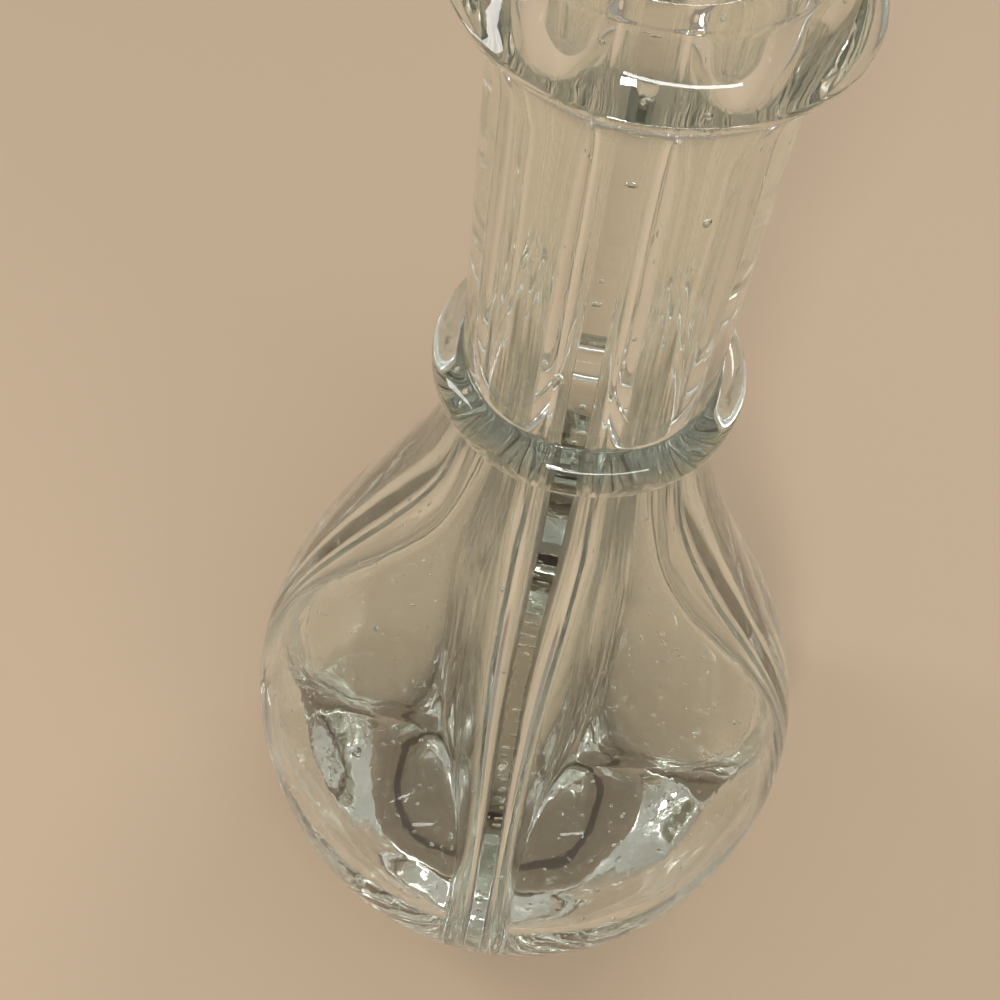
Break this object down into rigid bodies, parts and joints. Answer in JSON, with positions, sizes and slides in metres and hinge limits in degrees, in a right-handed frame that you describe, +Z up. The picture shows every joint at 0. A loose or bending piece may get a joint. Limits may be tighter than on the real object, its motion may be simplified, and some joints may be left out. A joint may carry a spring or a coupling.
{
  "type": "four-chamber decanter",
  "caption": "Pear-shaped clear glass decanter whose globe and neck are divided into quarter compartments, each with its own leaning spout and drop-shaped stopper.",
  "frame": {"origin": "middle of the base, where the decanter stands", "axes": "+Z up along the neck, -Y to the front, where the seam between the two front chambers faces"},
  "size_m": [0.1314, 0.1314, 0.3334],
  "materials": {
    "body_glass": "clear grey-green glass with seeds",
    "applied_glass": "clear grey-green glass, thicker",
    "spout_glass": "clear fire-polished glass",
    "stopper_glass": "clear glass with a ground plug"
  },
  "bodies": {
    "body": {"bowl_front_left": "body_glass", "shoulder_front_left": "body_glass", "bowl_front_right": "body_glass", "shoulder_front_right": "body_glass", "bowl_rear_left": "body_glass", "shoulder_rear_left": "body_glass", "bowl_rear_right": "body_glass", "shoulder_rear_right": "body_glass", "neck_front_left": "body_glass", "neck_front_right": "body_glass", "neck_rear_left": "body_glass", "neck_rear_right": "body_glass", "neck_ring": "applied_glass", "drip_collar": "applied_glass", "spout_front_left": "spout_glass", "spout_front_right": "spout_glass", "spout_rear_left": "spout_glass", "spout_rear_right": "spout_glass"},
    "front_left_stopper": {"stopper_front_left": "stopper_glass"},
    "front_right_stopper": {"stopper_front_right": "stopper_glass"},
    "rear_left_stopper": {"stopper_rear_left": "stopper_glass"},
    "rear_right_stopper": {"stopper_rear_right": "stopper_glass"}
  },
  "joints": [
    {"name": "front_left_stopper_lift", "type": "slide", "parent": "body", "child": "front_left_stopper", "axis": [-0.2185, -0.2185, 0.9511], "range_m": [0, 0.02]},
    {"name": "front_right_stopper_lift", "type": "slide", "parent": "body", "child": "front_right_stopper", "axis": [0.2185, -0.2185, 0.9511], "range_m": [0, 0.02]},
    {"name": "rear_left_stopper_lift", "type": "slide", "parent": "body", "child": "rear_left_stopper", "axis": [-0.2185, 0.2185, 0.9511], "range_m": [0, 0.02]},
    {"name": "rear_right_stopper_lift", "type": "slide", "parent": "body", "child": "rear_right_stopper", "axis": [0.2185, 0.2185, 0.9511], "range_m": [0, 0.02]}
  ]
}
